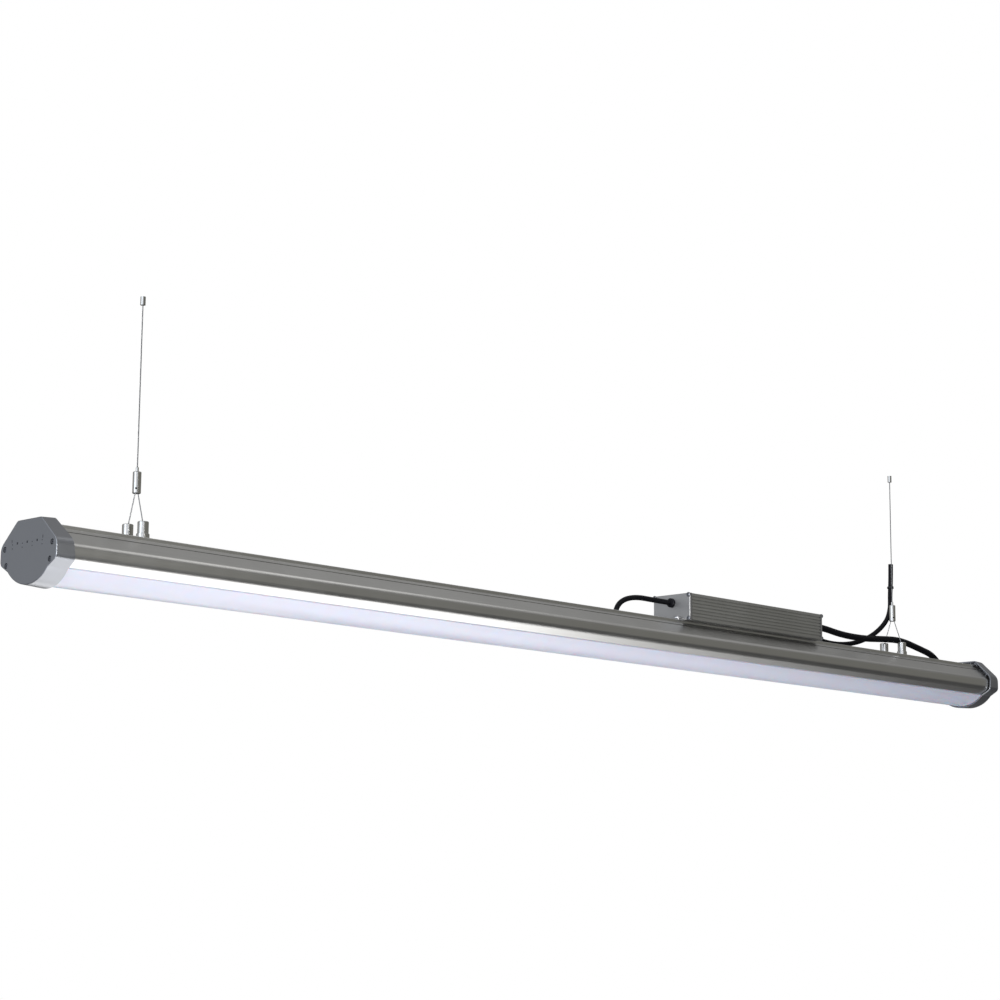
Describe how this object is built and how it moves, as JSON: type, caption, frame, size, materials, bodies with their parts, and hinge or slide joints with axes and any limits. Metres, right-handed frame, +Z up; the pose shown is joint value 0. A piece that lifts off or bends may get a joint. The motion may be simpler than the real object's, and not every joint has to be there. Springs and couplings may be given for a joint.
{
  "type": "high bay light",
  "caption": "Long suspended light with an aluminium housing, opal underside, end caps, a driver on top and two wire hangers.",
  "frame": {"origin": "midway between the undersides of the two end stops, where the suspension wires bear on the ceiling fittings", "axes": "+X along the housing from the left end cap, seen from the front, to the right one, +Y to the rear, +Z up along the suspension wires"},
  "size_m": [1.5, 0.0866, 0.2872],
  "materials": {
    "housing_aluminium": "satin anodised, long fine grain",
    "opal_plastic": "opal white, smooth",
    "cap_plastic": "fine matt moulding",
    "gasket_rubber": "matt",
    "screw_steel": "plain zinc",
    "board_white": "white solder mask",
    "led_lens": "yellow lens",
    "connector_white": "moulded",
    "terminal_plastic": "moulded",
    "pin_brass": "plain",
    "driver_aluminium": "satin, ribbed",
    "plate_aluminium": "satin cast",
    "potting": "dull cast resin",
    "lead_black": "matt black sheath",
    "boot_rubber": "matt black",
    "nickel": "bright turned",
    "wire_steel": "stranded",
    "tie_plastic": "matt black"
  },
  "bodies": {
    "luminaire": {"housing": "housing_aluminium", "diffuser": "opal_plastic", "end_cap_left": "cap_plastic", "end_cap_right": "cap_plastic", "end_gasket_left": "gasket_rubber", "end_gasket_right": "gasket_rubber", "end_cap_screws": "screw_steel", "led_board_1": "board_white", "led_board_2": "board_white", "led_board_3": "board_white", "led_board_4": "board_white", "led_board_5": "board_white", "led_packages": "led_lens", "board_links": "connector_white", "board_screws": "screw_steel", "terminal_block_left": "terminal_plastic", "terminal_block_right": "terminal_plastic", "terminal_pins": "pin_brass", "driver_case": "driver_aluminium", "driver_core": "potting", "driver_plate_left": "plate_aluminium", "driver_plate_right": "plate_aluminium", "driver_gasket_left": "gasket_rubber", "driver_gasket_right": "gasket_rubber", "driver_screws": "screw_steel", "driver_foot_screws": "screw_steel", "driver_slot_nuts": "screw_steel", "output_boot_left": "boot_rubber", "output_boot_right": "boot_rubber", "mains_boot": "boot_rubber", "grommet_left": "boot_rubber", "grommet_right": "boot_rubber", "output_lead_left": "lead_black", "output_lead_right": "lead_black", "mains_lead": "lead_black", "cable_tie": "tie_plastic", "hanger_slot_nuts": "screw_steel", "gripper_pins": "screw_steel", "nipple_base_left_front": "nickel", "nipple_cap_left_front": "nickel", "nipple_base_left_rear": "nickel", "nipple_cap_left_rear": "nickel", "bridle_left": "wire_steel", "gripper_body_left": "nickel", "release_spring_left": "screw_steel", "suspension_wire_left": "wire_steel", "end_stop_left": "nickel", "nipple_base_right_front": "nickel", "nipple_cap_right_front": "nickel", "nipple_base_right_rear": "nickel", "nipple_cap_right_rear": "nickel", "bridle_right": "wire_steel", "gripper_body_right": "nickel", "release_spring_right": "screw_steel", "suspension_wire_right": "wire_steel", "end_stop_right": "nickel"},
    "release_left": {"release_nozzle_left": "nickel"},
    "release_right": {"release_nozzle_right": "nickel"}
  },
  "joints": [
    {"name": "release_left", "type": "slide", "parent": "luminaire", "child": "release_left", "axis": [0, 0, 1], "range_m": [-0.002, 0], "stiffness_N_per_m": 400, "springref_m": 0.001, "deforming": ["release_spring_left"]},
    {"name": "release_right", "type": "slide", "parent": "luminaire", "child": "release_right", "axis": [0, 0, 1], "range_m": [-0.002, 0], "stiffness_N_per_m": 400, "springref_m": 0.001, "deforming": ["release_spring_right"]}
  ]
}
